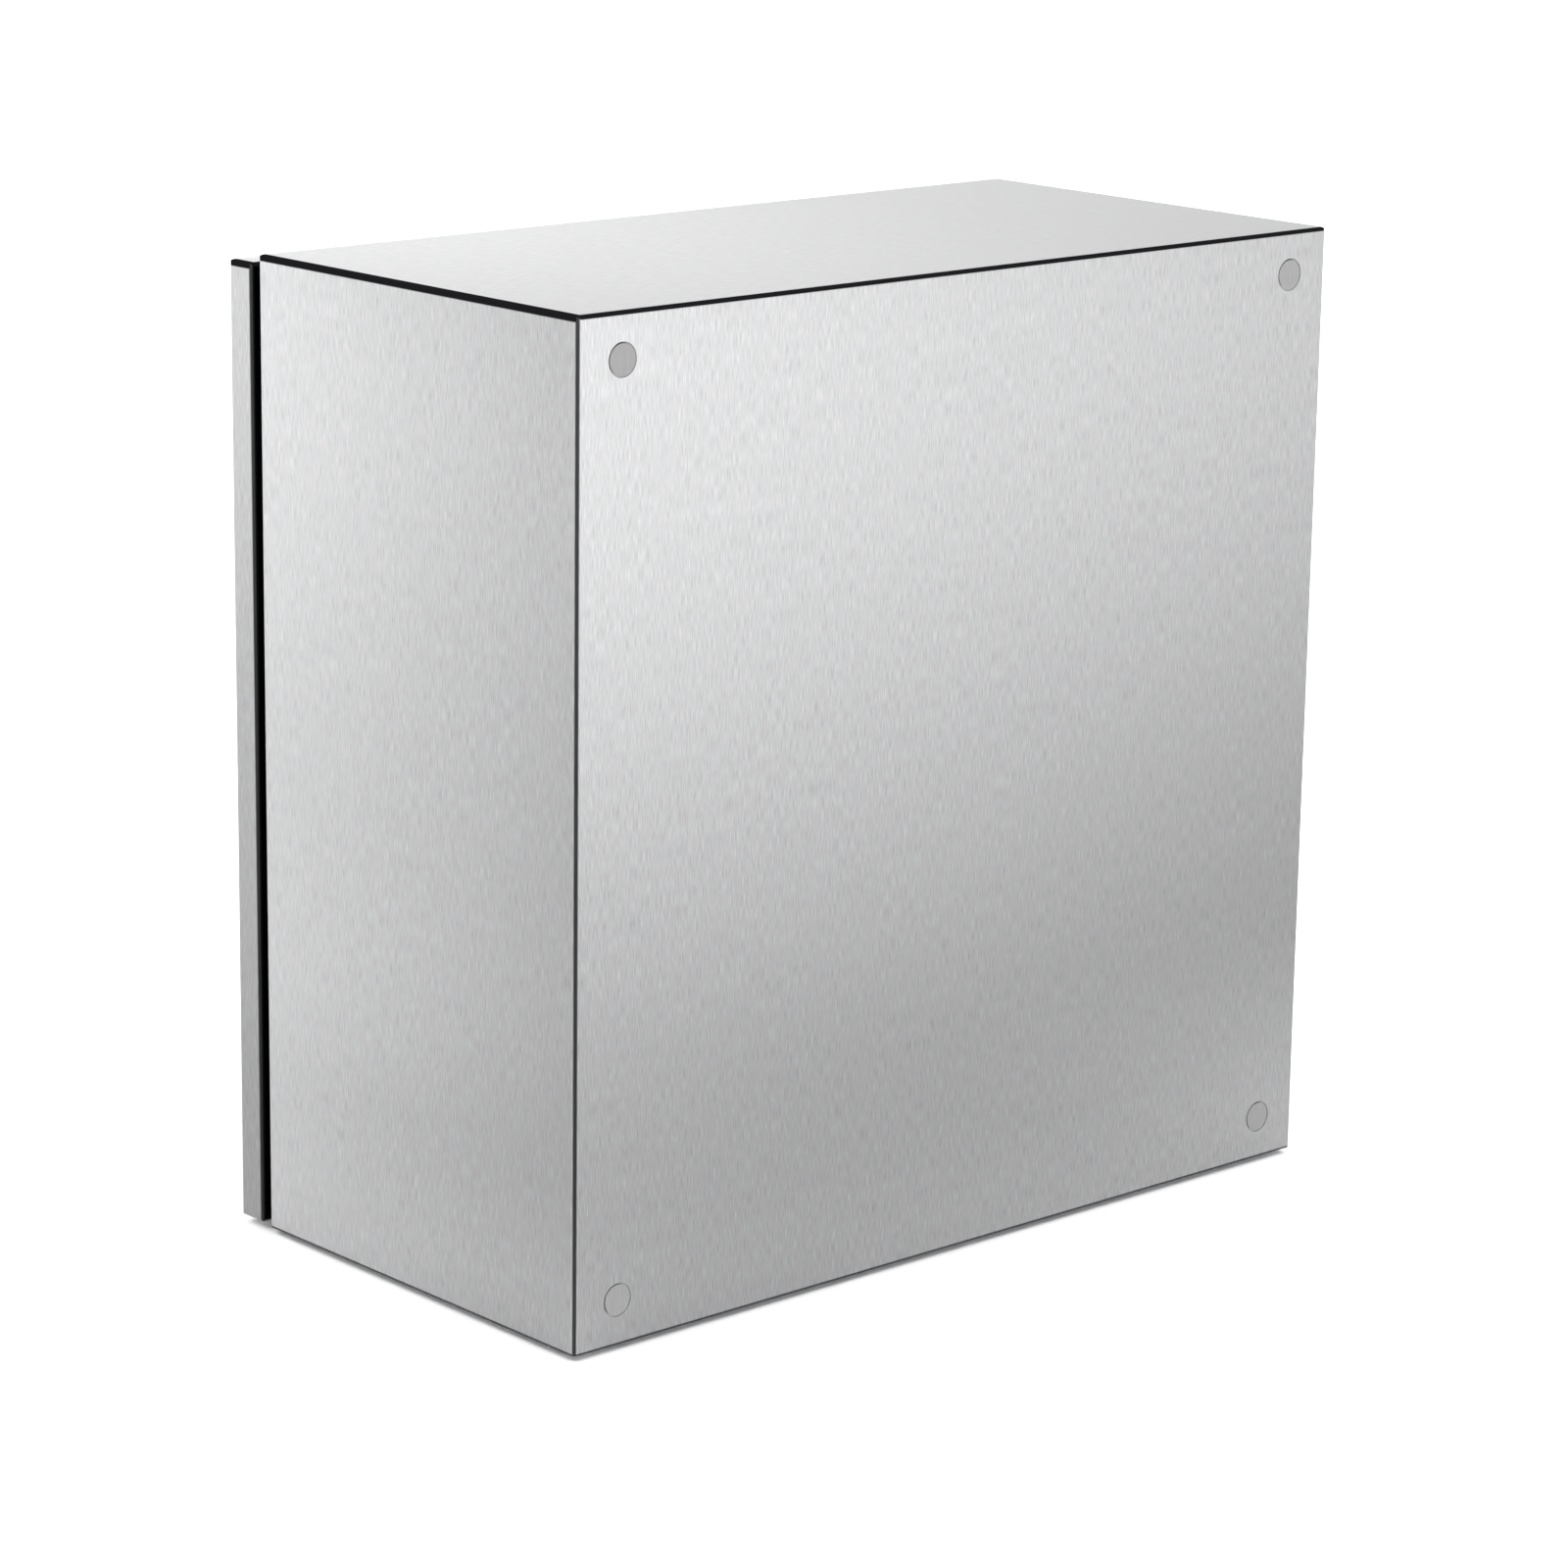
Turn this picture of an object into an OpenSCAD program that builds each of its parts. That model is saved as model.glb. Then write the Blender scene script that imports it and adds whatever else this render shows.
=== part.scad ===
// Compact drawer-type trash compactor: a brushed steel cabinet with a shadow-gapped drawer front.
// Two power screws, joined by a roller chain, drive a ram down into the bin.
// Origin: centre of the footprint, on the floor. +Z up, drawer front towards -Y.

/* [Cabinet] */
// Width of the cabinet
body_w = 598; // [590:1:640]
// Height of the cabinet shell, without its feet
body_h = 596; // [590:1:640]
// Depth of the cabinet shell, without the drawer front
body_d = 292; // [288:1:330]
// Thickness of the outer sheet
sheet_t = 1.2; // [0.8:0.1:1.5]
// Outer radius of the bends
bend_r = 3; // [2:0.5:4]
// Height of the glide feet
foot_h = 4; // [3:1:8]
// Diameter of the four discs in the rear face
plug_d = 20; // [16:1:24]
// Distance from the disc centres to the side edges
plug_side = 32; // [28:1:40]
// Distance from the disc centres to the top and bottom edges
plug_end = 27; // [22:1:36]

/* [Drawer front] */
// Shadow gap between cabinet and drawer front
gap = 7; // [6:0.5:9]
// Thickness of the drawer front
front_t = 22; // [20:1:28]
// How far the drawer front ends below the cabinet top
front_drop = 6; // [3:1:9]
// How far the handle reaches out of the front
handle_reach = 38; // [34:1:60]
// Height of the handle above the floor
handle_z = 500; // [440:5:510]
// Height of the controls above the floor
control_z = 556; // [550:1:560]

/* [Drawer] */
// Clear width between the side frames
bay_w = 408; // [400:2:410]
// Height of the bin
bin_h = 301.5; // [250:0.5:302]
// Depth of the bin
bin_d = 236; // [220:2:236]

/* [Ram] */
// Travel of the ram
ram_travel = 180; // [120:5:180]
// Clearance between the ram plate and the bin walls
ram_clear = 7; // [6:0.5:12]

/* [Drive] */
// Pitch of the roller chain
chain_pitch = 9.525; // [9.525]
// Links in the chain loop, an even number
chain_links = 126; // [126]
// Teeth of each screw sprocket, an even number
sprocket_teeth = 20; // [18:2:20]
// Diameter of the power screws
screw_d = 18; // [16:1:20]
// Gear module
gear_module = 1.25; // [1.25]
// Teeth of the gear on the right screw
gear_teeth = 68; // [68]
// Teeth of the motor pinion
pinion_teeth = 12; // [12]
// Diameter of the motor housing
motor_d = 74; // [60:1:76]

/* [Hidden] */
$fn = 64;
eps = 1; // overshoot of cutting tools
steel = [0.78, 0.79, 0.80];
zinc = [0.62, 0.64, 0.66];
dark_steel = [0.36, 0.37, 0.39];
black = [0.06, 0.06, 0.07];
white_plastic = [0.85, 0.85, 0.83];

// Main planes of the cabinet
rear_y = (body_d + gap + front_t + handle_reach) / 2;
shell_front_y = rear_y - body_d;
front_back_y = shell_front_y - gap;
front_face_y = front_back_y - front_t;
half_w = body_w / 2;
top_z = foot_h + body_h;
front_top_z = top_z - front_drop;
inner_r = bend_r - sheet_t;
bend_top_z = top_z - bend_r;
pan_t = 1.5;
pan_z = foot_h + sheet_t;
pan_top = pan_z + pan_t;
pan_flange = 12;

// Side frames and the bay between them
frame_t = 1.5;
bay_half = bay_w / 2;
frame_front_y = shell_front_y + sheet_t + pan_t;
frame_rear_y = rear_y - 29.5;
frame_top_z = top_z - 30;
frame_flange = 19;
bay_bottom_z = foot_h + 27;

// Bin and ram
tray_t = 1.5;
tray_z = foot_h + 30;
bin_wall = 1.5;
bin_gap = 4.5; // from the cabinet's front plane to the bin
bin_half = bay_half - 15.5;
bin_front_y = shell_front_y + bin_gap;
bin_rear_y = bin_front_y + bin_d;
bin_z = tray_z + tray_t;
bin_top = bin_z + bin_h;
bin_corner_r = 18;
bin_rim = 8;
ram_y = (bin_front_y + bin_rear_y) / 2;
ram_half_w = bin_half - bin_wall - ram_clear;
ram_half_d = bin_d / 2 - bin_wall - ram_clear;
ram_z = bin_top + 8;
ram_plate_t = 4;
beam_h = 32;
beam_half = 18; // half the beam's depth along Y
beam_wall = 3;
beam_z = ram_z + ram_travel + 5;
slot_half = beam_half + 4;
slot_bottom = beam_z - ram_travel - 7;
slot_top = frame_top_z - 3;
column_x = 110;
column_w = 50;
cover_half_w = 150;
cover_half_d = 80;

// Screw drive
screw_x = (chain_links - sprocket_teeth) * chain_pitch / 4;
screw_r = screw_d / 2;
seat_r = 8;
journal_r = 6;
run_clear = 0.05; // radial clearance of running fits
chain_z = foot_h + 17;
sprocket_r = chain_pitch / 2 / sin(180 / sprocket_teeth);
roller_r = 2.54;
gear_z = foot_h + 27;
gear_w = 12;
gear_distance = gear_module * (gear_teeth + pinion_teeth) / 2;
pressure_angle = 25;
backlash = 0.15;
bearing_h = 7;
bearing_r = 10;
bearing_flange = 3;
screw_foot_z = pan_top + bearing_h + 0.3;
thread_z = gear_z + gear_w + 3;
crossmember_t = 3;
crossmember_half = 285;

// Motor, upright beside the right screw
motor_y = ram_y + gear_distance;
bracket_z = foot_h + 46;
bracket_t = 3;
bell_h = 10;
motor_tube_h = 102;
motor_z = bracket_z + bracket_t;
motor_r = motor_d / 2;
motor_wall = 2;
motor_shaft_r = 5;
motor_screw_r = 2.5;

// Slides: s runs from the side frame towards the drawer
slide_z = foot_h + 61;
rail_t = 1.2;
slide_t = 12.7;
rail_front_y = shell_front_y + 6.5;
rail_len = frame_rear_y - rail_front_y;

// Controls, from left to right seen from the front
start_x = -48;
stop_x = -14;
lens_x = 16;
key_x = 48;
button_r = 9;
button_clear = 0.3;
button_travel = 2;
bezel_t = 1.2;
barrel_r = 9.5;
lens_r = 4;
housing_wall = 2;
key_r = 6;

// Electrics in the left compartment
box_lo = [-half_w + 2, rear_y - 83.5, foot_h + 86];
box_hi = [-half_w + 84, rear_y - 7.5, foot_h + 176];
box_wall = 2;
gland_y = rear_y - 45.5;
gland_z = foot_h + 131;
gland_r = 8;
gland_bore_r = 4.5;
lead_r = 3.5;
lead_y = rear_y - 19.5;
lead_z = motor_z + bell_h + motor_tube_h - 6;
lead_bend_r = 20;
fan_y = ram_y + 90;
fan_z = foot_h + 436;
fan_size = 80;
fan_t = 25;
fan_bore_r = 37.5;

// Feet and bolts
foot_r = 15;
foot_stud_r = 4;
bolt_r = 3.9;
bolt_clear_r = 4;
bolt_head_r = 6.5;
bolt_head_h = 5;

// Floor bolt holes in the base pan
bolt_dx = 150;
bolt_dy = 90;
bolt_y = rear_y - body_d / 2;
bolt_hole_r = 3.3;

// ---- Helpers ----

// Cuboid between two opposite corners
module block(lo, hi) {
    translate(lo) cube(hi - lo);
}

// The children and their mirror image on the other side of the cabinet
module both_sides() {
    children();
    mirror([1, 0, 0]) children();
}

// Rectangle with round corners, centred
module rounded_rect(size, r) {
    square([size.x - 2 * r, size.y], center = true);
    square([size.x, size.y - 2 * r], center = true);
    for (sx = [-1, 1], sy = [-1, 1])
        translate([sx * (size.x / 2 - r), sy * (size.y / 2 - r)]) circle(r);
}

// Cuboid whose upright edges are rounded
module upright_block(lo, hi, r) {
    translate([(lo.x + hi.x) / 2, (lo.y + hi.y) / 2, lo.z])
        linear_extrude(hi.z - lo.z) rounded_rect([hi.x - lo.x, hi.y - lo.y], r);
}

// Cuboid whose twelve edges are all rounded, as three crossed prisms
module soft_block(lo, hi, r) {
    s = hi - lo;
    translate((lo + hi) / 2) intersection() {
        linear_extrude(s.z, center = true) rounded_rect([s.x, s.y], r);
        rotate([90, 0, 0]) linear_extrude(s.y, center = true) rounded_rect([s.x, s.z], r);
        rotate([90, 0, 90]) linear_extrude(s.x, center = true) rounded_rect([s.y, s.z], r);
    }
}

// Cylinder along +Y from the point p
module rod_y(p, r, h) {
    translate(p) rotate([-90, 0, 0]) cylinder(r = r, h = h);
}

// Cylinder along +X from the point p
module rod_x(p, r, h) {
    translate(p) rotate([0, 90, 0]) cylinder(r = r, h = h);
}

// Hexagonal bolt head with its shank below it, standing on z = 0
module hex_bolt(head_r, head_h, shank_r, shank_l) {
    cylinder(r = head_r, h = head_h, $fn = 6);
    translate([0, 0, -shank_l]) cylinder(r = shank_r, h = shank_l);
}

// ---- Cabinet ----

// The folded shell before it is divided: open underneath, and at the front inside its frame
module shell_body() {
    side = [sheet_t, sheet_t, sheet_t];
    below = [0, 0, 2 * bend_r];
    lo = [-half_w, shell_front_y, foot_h];
    hi = [half_w, rear_y, top_z];
    difference() {
        soft_block(lo - below, hi, bend_r);
        soft_block(lo + side - 2 * below, hi - side, inner_r);
        block(lo - 2 * below - side, [hi.x + eps, hi.y + eps, foot_h]);
        block([-bay_half, lo.y - eps, bay_bottom_z], [bay_half, lo.y + 2 * sheet_t, frame_top_z + 2]);
        plug_places() translate([0, 0, -2 * sheet_t]) cylinder(d = plug_d, h = 3 * sheet_t);
        rod_x([-half_w - eps, gland_y, gland_z], gland_r, sheet_t + 2 * eps);
    }
}

// Top panel with the bends along its four edges
module cabinet_top() {
    color(steel) intersection() {
        shell_body();
        block([-half_w - eps, shell_front_y - eps, bend_top_z], [half_w + eps, rear_y + eps, top_z + eps]);
    }
}

// Rear panel with its two upright bends
module cabinet_rear() {
    color(steel) intersection() {
        shell_body();
        block([-half_w - eps, rear_y - bend_r, foot_h - eps], [half_w + eps, rear_y + eps, bend_top_z]);
    }
}

// Side panels with the upright bends at the front
module cabinet_sides() {
    color(steel) intersection() {
        shell_body();
        both_sides() block(
            [half_w - bend_r, shell_front_y - eps, foot_h - eps],
            [half_w + eps, rear_y - bend_r, bend_top_z]
        );
    }
}

// Flat ring round the drawer bay
module front_frame() {
    color(steel) intersection() {
        shell_body();
        block(
            [bend_r - half_w, shell_front_y - eps, foot_h - eps],
            [half_w - bend_r, shell_front_y + bend_r, bend_top_z]
        );
    }
}

// Puts the children on the rear face, z pointing out of it, at the four disc centres
module plug_places() {
    for (sx = [-1, 1], z = [foot_h + plug_end, top_z - plug_end])
        translate([sx * (half_w - plug_side), rear_y, z]) rotate([-90, 0, 0]) children();
}

module wall_hole_plugs() {
    recess = 0.25;
    head_r = plug_d / 2 - 0.15;
    skirt_r = plug_d / 2 - 2;
    color(steel) plug_places() difference() {
        union() {
            translate([0, 0, -sheet_t]) cylinder(r = head_r, h = sheet_t - recess);
            translate([0, 0, -7]) cylinder(r = skirt_r, h = 7 - sheet_t);
        }
        translate([0, 0, -7 - eps]) cylinder(r = skirt_r - 1.5, h = 7 - sheet_t);
    }
}

module base_pan() {
    corner_r = bend_r;
    lo = [-half_w + sheet_t, shell_front_y + sheet_t, pan_z];
    hi = [half_w - sheet_t, rear_y - sheet_t, pan_top + pan_flange];
    wall = [pan_t, pan_t, pan_t];
    color(zinc) difference() {
        upright_block(lo, hi, corner_r);
        upright_block(lo + wall, hi + [-pan_t, -pan_t, eps], corner_r - pan_t);
        floor_bolt_places() cylinder(r = bolt_hole_r, h = pan_top + eps);
        foot_places() cylinder(r = foot_stud_r, h = pan_top + eps);
        frame_foot_places() cylinder(r = bolt_clear_r, h = pan_top + eps);
    }
}

module floor_bolt_places() {
    for (sx = [-1, 1], sy = [-1, 1])
        translate([sx * bolt_dx, bolt_y + sy * bolt_dy, 0]) children();
}

module foot_places() {
    for (sx = [-1, 1], y = [shell_front_y + 40, rear_y - 40])
        translate([sx * (half_w - 37), y, 0]) children();
}

module frame_foot_places() {
    for (sx = [-1, 1], y = [shell_front_y + 26, rear_y - 50])
        translate([sx * (bay_half + frame_t + 10), y, 0]) children();
}

module glide_feet() {
    chamfer = 1;
    color(black) foot_places() union() {
        cylinder(r1 = foot_r - chamfer, r2 = foot_r, h = chamfer);
        translate([0, 0, chamfer]) cylinder(r = foot_r, h = pan_z - chamfer);
        cylinder(r = foot_stud_r, h = pan_top + 4);
    }
}

// Side frame on the right: a slotted plate with flanges, open at the chain
module side_frame() {
    x0 = bay_half;
    x1 = bay_half + frame_t;
    x2 = x1 + frame_flange;
    difference() {
        union() {
            block([x0, frame_front_y, pan_top], [x1, frame_rear_y, frame_top_z]);
            block([x0, frame_front_y, pan_top], [x2, frame_front_y + frame_t, frame_top_z]);
            block([x0, frame_front_y, pan_top], [x2, frame_rear_y, pan_top + frame_t]);
            block([x0, frame_front_y, frame_top_z - frame_t], [x2, frame_rear_y, frame_top_z]);
        }
        // passage for the chain
        block([x0 - eps, ram_y - 38, pan_top - eps], [x2 + eps, ram_y + 38, bay_bottom_z]);
        // slot for the ram beam
        block([x0 - eps, ram_y - slot_half, slot_bottom], [x1 + eps, ram_y + slot_half, slot_top]);
        frame_foot_places() cylinder(r = bolt_clear_r, h = pan_top + 3 * frame_t);
        crossmember_bolt_places() translate([0, 0, frame_top_z - 3 * frame_t])
            cylinder(r = bolt_clear_r, h = 6 * frame_t);
    }
}

module left_side_frame() {
    color(zinc) difference() {
        mirror([1, 0, 0]) side_frame();
        // air intake of the odour fan
        rod_x([-bay_half - 2 * frame_t, fan_y, fan_z], fan_bore_r - 1.5, 3 * frame_t);
    }
}

module right_side_frame() {
    color(zinc) side_frame();
}

module crossmember_bolt_places() {
    for (sx = [-1, 1], sy = [-1, 1])
        translate([sx * (bay_half + frame_t + 10), ram_y + sy * 34, 0]) children();
}

module top_crossmember() {
    half = 45;
    t = crossmember_t;
    height = 23;
    color(zinc) difference() {
        block(
            [-crossmember_half, ram_y - half, frame_top_z],
            [crossmember_half, ram_y + half, frame_top_z + height]
        );
        block(
            [-crossmember_half - eps, ram_y - half + t, frame_top_z + t],
            [crossmember_half + eps, ram_y + half - t, frame_top_z + height + eps]
        );
        screw_places() translate([0, 0, frame_top_z - eps]) cylinder(r = bearing_r, h = 2 * t);
        crossmember_bolt_places() translate([0, 0, frame_top_z - eps]) cylinder(r = bolt_clear_r, h = 2 * t);
    }
}

module screw_places() {
    for (sx = [-1, 1])
        translate([sx * screw_x, ram_y, 0]) children();
}

module cabinet_screws() {
    color(dark_steel) {
        crossmember_bolt_places() translate([0, 0, frame_top_z + crossmember_t])
            hex_bolt(bolt_head_r, bolt_head_h, bolt_r, crossmember_t + frame_t + 4);
        frame_foot_places() translate([0, 0, pan_top + frame_t])
            hex_bolt(bolt_head_r, bolt_head_h, bolt_r, pan_t + frame_t);
        motor_screw_places() translate([0, 0, bracket_z]) union() {
            translate([0, 0, -3]) cylinder(r = 4.2, h = 3);
            cylinder(r = motor_screw_r, h = bracket_t + 6);
        }
    }
}

module drive_cover() {
    t = 1.2;
    half = bay_half - 0.6;
    front = frame_front_y + 10;
    top = bay_bottom_z - 0.8;
    color(zinc) difference() {
        block([-half, front, pan_top], [half, frame_rear_y, top]);
        block([-half - eps, front + t, pan_top - eps], [half + eps, frame_rear_y - t, top - t]);
    }
}

// Plain bearings of both screws: thrust discs in the base pan, flanged bushes in the crossmember
module screw_bearings() {
    upper_z = frame_top_z - bearing_flange;
    color([0.72, 0.55, 0.30]) screw_places() difference() {
        union() {
            translate([0, 0, pan_top]) cylinder(r = bearing_r + 6, h = bearing_h);
            translate([0, 0, upper_z]) cylinder(r = bearing_r + 4, h = bearing_flange);
            translate([0, 0, frame_top_z]) cylinder(r = bearing_r, h = bearing_h);
        }
        translate([0, 0, pan_top - eps]) cylinder(r = journal_r + run_clear, h = top_z);
    }
}

// ---- Chain and gears ----

// Place of roller k along the loop, seen from above, about the loop's centre
function roller_at(k) = let(
    run = (chain_links - sprocket_teeth) / 2,
    wrap = sprocket_teeth / 2,
    step = 360 / sprocket_teeth,
    r = sprocket_r
)
    k < run ? [-screw_x + k * chain_pitch, r] :
    k < run + wrap ? [screw_x + r * sin((k - run) * step), r * cos((k - run) * step)] :
    k < 2 * run + wrap ? [screw_x - (k - run - wrap) * chain_pitch, -r] :
    let(a = (k - 2 * run - wrap) * step) [-screw_x - r * sin(a), -r * cos(a)];

// Puts the children at roller k, with x pointing to the next roller
module at_link(k) {
    p = roller_at(k);
    q = roller_at((k + 1) % chain_links);
    translate([p.x, p.y, 0]) rotate(atan2(q.y - p.y, q.x - p.x)) children();
}

// Outline of a link plate, from one pin to the next
module link_outline() {
    r = 3.9;
    circle(r);
    translate([chain_pitch, 0]) circle(r);
    translate([0, -r]) square([chain_pitch, 2 * r]);
}

module inner_link() {
    bush_r = 1.7;
    plate_z = 2.4;
    plate_t = 1.1;
    difference() {
        union() {
            for (z = [-plate_z - plate_t, plate_z])
                translate([0, 0, z]) linear_extrude(plate_t) link_outline();
            for (x = [0, chain_pitch])
                translate([x, 0, -plate_z]) cylinder(r = roller_r, h = 2 * plate_z, $fn = 24);
        }
        for (x = [0, chain_pitch])
            translate([x, 0, -5]) cylinder(r = bush_r, h = 10, $fn = 24);
    }
}

module outer_link() {
    plate_z = 3.7;
    plate_t = 1.1;
    for (z = [-plate_z - plate_t, plate_z])
        translate([0, 0, z]) linear_extrude(plate_t) link_outline();
    for (x = [0, chain_pitch])
        translate([x, 0, -5.3]) cylinder(r = 1.5, h = 10.6, $fn = 24);
}

module drive_chain() {
    color(dark_steel) translate([0, ram_y, chain_z]) for (k = [0:2:chain_links - 2]) {
        at_link(k) inner_link();
        at_link(k + 1) outer_link();
    }
}

// Sprocket plate with round gullets that open outwards, and a hub below it
module sprocket() {
    gullet_r = roller_r + 0.16;
    flare = 5;
    mouth = gullet_r + 3.4;
    difference() {
        union() {
            translate([0, 0, chain_z - 2.1]) linear_extrude(4.2) difference() {
                circle(sprocket_r + 2.6);
                for (i = [0:sprocket_teeth - 1])
                    rotate(i * 360 / sprocket_teeth) translate([sprocket_r, 0]) {
                        circle(gullet_r);
                        polygon([[0, -gullet_r], [flare, -mouth], [flare, mouth], [0, gullet_r]]);
                    }
            }
            translate([0, 0, screw_foot_z]) cylinder(r = 15, h = gear_z - 4 - screw_foot_z);
        }
        translate([0, 0, screw_foot_z - eps]) cylinder(r = seat_r, h = gear_z);
    }
}

// Involute of an angle, in degrees
function involute(a) = tan(a) * 180 / PI - a;

// Half the angle that a tooth spans at radius r
function tooth_half(r, teeth) = let(
    pitch_r = gear_module * teeth / 2,
    base_r = pitch_r * cos(pressure_angle),
    play = backlash / 2 / pitch_r * 180 / PI
)
    90 / teeth + involute(pressure_angle) - involute(acos(min(1, base_r / r))) - play / 2;

// One tooth's outline at angle a, from its root to its tip and back
function tooth(a, teeth) = let(
    pitch_r = gear_module * teeth / 2,
    root_r = pitch_r - 1.2 * gear_module,
    base_r = pitch_r * cos(pressure_angle),
    tip_r = pitch_r + gear_module,
    low_r = max(root_r, base_r),
    radii = [root_r, for (i = [0:3]) low_r + (tip_r - low_r) * i / 3 + 0.001],
    halves = [for (r = radii) tooth_half(max(r, low_r), teeth)],
    last = len(radii) - 1
)
    [
        for (i = [0:last]) radii[i] * [cos(a - halves[i]), sin(a - halves[i])],
        for (i = [last:-1:0]) radii[i] * [cos(a + halves[i]), sin(a + halves[i])]
    ];

module gear_outline(teeth, first) {
    polygon([for (i = [0:teeth - 1]) each tooth(first + i * 360 / teeth, teeth)]);
}

module drive_gear() {
    color(dark_steel) translate([screw_x, ram_y, gear_z]) difference() {
        union() {
            linear_extrude(gear_w) gear_outline(gear_teeth, 90);
            translate([0, 0, -3]) cylinder(r = 14, h = 3);
        }
        translate([0, 0, -3 - eps]) cylinder(r = seat_r, h = gear_w + 3 + 2 * eps);
        for (a = [0:60:300])
            rotate(a) translate([25, 0, -eps]) cylinder(r = 7, h = gear_w + 2 * eps);
    }
}

module motor_pinion() {
    color(zinc) translate([screw_x, motor_y, gear_z - 1]) difference() {
        linear_extrude(gear_w + 2) gear_outline(pinion_teeth, -90 + 180 / pinion_teeth);
        translate([0, 0, -eps]) cylinder(r = motor_shaft_r - 1.5, h = gear_w + 2 + 2 * eps);
    }
}

// Lower journal, seat of the sprocket and gear, thread, upper journal
module power_screw() {
    thread_top = frame_top_z - 4;
    translate([0, 0, pan_top + 0.5]) cylinder(r = journal_r, h = screw_foot_z - pan_top);
    translate([0, 0, screw_foot_z]) cylinder(r = seat_r, h = thread_z - screw_foot_z);
    translate([0, 0, thread_z]) cylinder(r = screw_r, h = thread_top - thread_z);
    translate([0, 0, thread_top]) cylinder(r = journal_r, h = 16);
}

module left_power_screw() {
    color(steel) translate([-screw_x, ram_y, 0]) power_screw();
}

module right_power_screw() {
    color(steel) translate([screw_x, ram_y, 0]) power_screw();
}

module left_sprocket() {
    color(dark_steel) translate([-screw_x, ram_y, 0]) sprocket();
}

module right_sprocket() {
    color(dark_steel) translate([screw_x, ram_y, 0]) sprocket();
}

// ---- Motor ----

module motor_bracket() {
    x0 = bay_half + frame_t;
    lo_y = ram_y - 30;
    hi_y = motor_y + 46;
    color(zinc) difference() {
        union() {
            block([x0, lo_y, bracket_z], [half_w - 7, hi_y, motor_z]);
            block([x0, lo_y, bracket_z], [x0 + bracket_t, hi_y, motor_z + 26]);
        }
        translate([screw_x, ram_y, bracket_z - eps]) cylinder(r = screw_r + 4, h = 2 * bracket_t);
        translate([screw_x, motor_y, bracket_z - eps]) cylinder(r = 12, h = 2 * bracket_t);
        motor_screw_places() translate([0, 0, bracket_z - eps])
            cylinder(r = motor_screw_r + 0.1, h = 2 * bracket_t);
    }
}

module motor_screw_places() {
    for (a = [45:90:315])
        translate([screw_x, motor_y, 0]) rotate(a) translate([24, 0, 0]) children();
}

module motor_end_bells() {
    bore = motor_shaft_r + run_clear;
    color([0.70, 0.71, 0.72]) translate([screw_x, motor_y, motor_z]) difference() {
        union() {
            cylinder(r = motor_r, h = bell_h);
            translate([0, 0, bell_h + motor_tube_h]) cylinder(r = motor_r, h = bell_h);
            translate([0, 0, 2 * bell_h + motor_tube_h]) cylinder(r = 12, h = 4);
        }
        translate([0, 0, -eps]) cylinder(r = bore, h = 3 * bell_h + motor_tube_h);
        for (a = [45:90:315])
            rotate(a) translate([24, 0, -eps]) cylinder(r = motor_screw_r, h = 6 + eps);
        for (a = [0:45:315])
            rotate(a) translate([27, 0, bell_h + motor_tube_h - eps])
                cylinder(r = 4, h = bell_h + 2 * eps);
    }
}

module motor_housing() {
    color([0.16, 0.17, 0.19]) difference() {
        translate([screw_x, motor_y, motor_z + bell_h]) difference() {
            cylinder(r = motor_r, h = motor_tube_h);
            translate([0, 0, -eps]) cylinder(r = motor_r - motor_wall, h = motor_tube_h + 2 * eps);
        }
        rod_y([screw_x, motor_y + motor_r - 5, lead_z], lead_r, 10);
    }
}

module motor_stator() {
    z0 = motor_z + bell_h + 9;
    color([0.60, 0.33, 0.16]) translate([screw_x, motor_y, z0]) difference() {
        cylinder(r = motor_r - motor_wall, h = 80);
        translate([0, 0, -eps]) cylinder(r = 23.5, h = 80 + 2 * eps);
    }
}

module motor_rotor() {
    shaft_z = gear_z - 2;
    core_z = motor_z + bell_h + 12;
    color(zinc) translate([screw_x, motor_y, 0]) union() {
        translate([0, 0, shaft_z]) cylinder(r = motor_shaft_r - 1.5, h = motor_z - 5 - shaft_z);
        translate([0, 0, motor_z - 5]) cylinder(r = motor_shaft_r, h = 2 * bell_h + motor_tube_h + 7);
        translate([0, 0, core_z]) cylinder(r = 23, h = 74);
    }
}

// ---- Slides ----

// Channel with its web at s0 and lips that reach to s1, on the right-hand side
module rail(half_h, s0, s1, web_at, length) {
    x0 = bay_half - s1;
    x1 = bay_half - s0;
    web = bay_half - web_at;
    block([web - rail_t, rail_front_y, slide_z - half_h], [web, rail_front_y + length, slide_z + half_h]);
    for (z = [slide_z - half_h, slide_z + half_h - rail_t])
        block([x0, rail_front_y, z], [x1, rail_front_y + length, z + rail_t]);
}

module outer_slide_rails() {
    color(zinc) both_sides() rail(22.5, 0, 9, 0, rail_len);
}

module right_middle_rail() {
    color(zinc) rail(21, 2.4, 10.5, 2.4, rail_len - 4);
}

module left_middle_rail() {
    mirror([1, 0, 0]) right_middle_rail();
}

module inner_slide_rails() {
    color(zinc) both_sides() rail(19.5, 4.8, slide_t, slide_t - rail_t, rail_len - 4);
}

// ---- Drawer ----

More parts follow.
